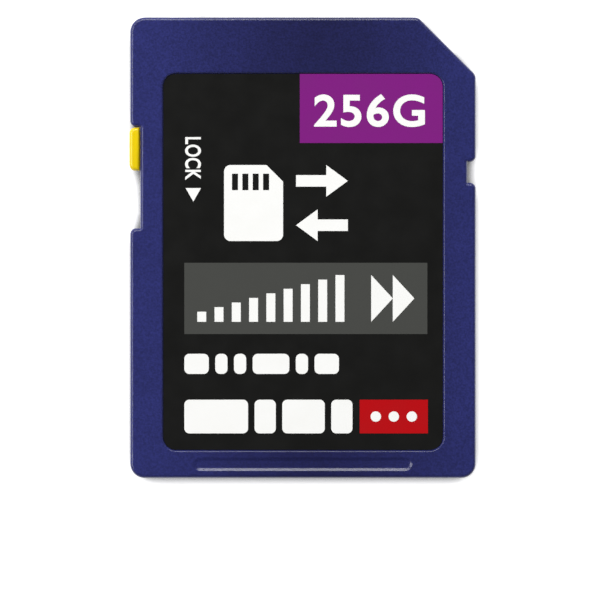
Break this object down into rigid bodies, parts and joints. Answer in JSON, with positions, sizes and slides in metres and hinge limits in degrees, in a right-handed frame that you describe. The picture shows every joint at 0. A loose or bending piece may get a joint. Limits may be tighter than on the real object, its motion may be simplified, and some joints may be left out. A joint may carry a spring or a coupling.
{
  "type": "sd memory card",
  "caption": "Flat plastic memory card with one cut corner, edge notches, a sliding write lock, a recessed label and gold contacts in slots at its leading end.",
  "frame": {"origin": "under the middle of the card, on the plane of its rear (contact side) face", "axes": "+X to the right seen from the label side with the contact end up, +Y towards the contact end, +Z out of the label side"},
  "size_m": [0.0241, 0.032, 0.0021],
  "materials": {
    "card_shell": "fine spark-eroded texture",
    "slider": "smooth moulded",
    "board": "solder mask",
    "label_film": "satin printed film",
    "purple_ink": "satin print",
    "grey_ink": "satin print",
    "red_ink": "satin print",
    "white_ink": "satin print",
    "chip_resin": "moulded epoxy",
    "gold_contact": "hard gold plating",
    "capacitor_ceramic": "fired ceramic",
    "resistor_ceramic": "glazed ceramic",
    "tinned_end": "matte tin"
  },
  "bodies": {
    "card": {"front_cover": "card_shell", "rear_cover": "card_shell", "circuit_board": "board", "front_label": "label_film", "label_purple_field": "purple_ink", "label_grey_band": "grey_ink", "label_red_field": "red_ink", "label_white_marks": "white_ink", "flash_chip": "chip_resin", "controller_chip": "chip_resin", "component_end_caps": "tinned_end", "contact_pad_1": "gold_contact", "contact_pad_2": "gold_contact", "contact_pad_3": "gold_contact", "contact_pad_4": "gold_contact", "contact_pad_5": "gold_contact", "contact_pad_6": "gold_contact", "contact_pad_7": "gold_contact", "contact_pad_8": "gold_contact", "contact_pad_9": "gold_contact", "capacitor_1": "capacitor_ceramic", "capacitor_2": "capacitor_ceramic", "capacitor_3": "capacitor_ceramic", "capacitor_4": "capacitor_ceramic", "capacitor_5": "capacitor_ceramic", "capacitor_6": "capacitor_ceramic", "resistor_1": "resistor_ceramic", "resistor_2": "resistor_ceramic", "resistor_3": "resistor_ceramic", "resistor_4": "resistor_ceramic"},
    "slider": {"write_protect_slider": "slider"}
  },
  "joints": [
    {"name": "write_lock_slide", "type": "slide", "parent": "card", "child": "slider", "axis": [0, -1, 0], "range_m": [0, 0.00395]}
  ]
}
